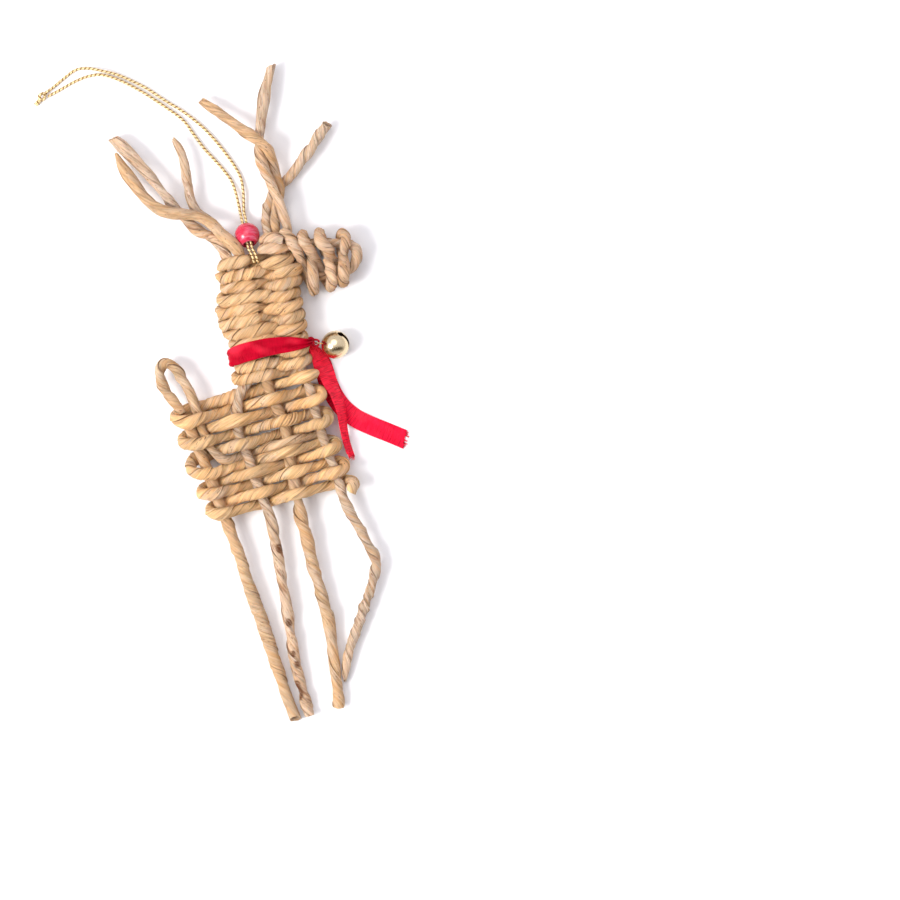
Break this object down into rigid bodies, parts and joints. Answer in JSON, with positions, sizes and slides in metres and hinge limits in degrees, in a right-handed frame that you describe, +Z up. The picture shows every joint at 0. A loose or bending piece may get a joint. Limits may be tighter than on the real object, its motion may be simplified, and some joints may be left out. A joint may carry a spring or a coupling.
{
  "type": "woven reindeer ornament",
  "caption": "Flat hanging reindeer woven from twisted dried-leaf cord, with branched antlers, red satin ribbon, brass jingle bell, pink bead and a gold cord loop.",
  "frame": {"origin": "middle of the woven figure, at the surface it lies on", "axes": "+Z up out of the figure's flat face, +Y from feet to antlers, +X towards the snout"},
  "size_m": [0.0975, 0.2184, 0.0112],
  "materials": {
    "leaf_cord": "matte dried leaf, rolled and twisted, fine fibres and creases",
    "pale_leaf_cord": "matte dried leaf, paler and mottled",
    "ribbon": "crimson satin with a soft sheen",
    "bell_brass": "polished pale brass",
    "pellet_steel": "plain steel",
    "bead_paint": "glossy pink-red stain over wood grain",
    "gold_cord": "twisted metallic thread"
  },
  "bodies": {
    "figure": {"hind_outer_leg": "leaf_cord", "hind_inner_leg": "pale_leaf_cord", "fore_inner_leg": "leaf_cord", "fore_bent_leg": "pale_leaf_cord", "tail_loop": "pale_leaf_cord", "body_weaver": "leaf_cord", "neck_weaver": "leaf_cord", "crown_wrap": "leaf_cord", "snout_core": "pale_leaf_cord", "snout_weaver": "leaf_cord", "rear_antler_tine": "pale_leaf_cord", "front_antler_left_tine": "leaf_cord", "front_antler_right_tine": "pale_leaf_cord", "ribbon_collar": "ribbon", "ribbon_knot": "ribbon", "ribbon_tail_long": "ribbon", "ribbon_tail_short": "ribbon", "bell_tie": "ribbon", "hanger_stitch": "gold_cord", "hanger_strand_left": "gold_cord", "hanger_strand_right": "gold_cord", "hanger_knot": "gold_cord"},
    "bell": {"bell_shank": "bell_brass", "bell_cap": "bell_brass", "bell_cup": "bell_brass"},
    "pellet": {"bell_pellet": "pellet_steel"},
    "bead_body": {"bead": "bead_paint"}
  },
  "joints": [
    {"name": "bell_swing", "type": "hinge", "parent": "figure", "child": "bell", "pos_m": [0.017, 0.0137, 0.0039], "axis": [-0.2756, -0.9613, 0], "range_deg": [0, 40]},
    {"name": "pellet_slide", "type": "slide", "parent": "bell", "child": "pellet", "axis": [0.9519, -0.2729, 0.1392], "range_m": [-0.0022, 0.0022]},
    {"name": "bead_slide", "type": "slide", "parent": "figure", "child": "bead_body", "axis": [-0.0308, 0.8824, -0.4695], "range_m": [0, 0.0028]}
  ]
}
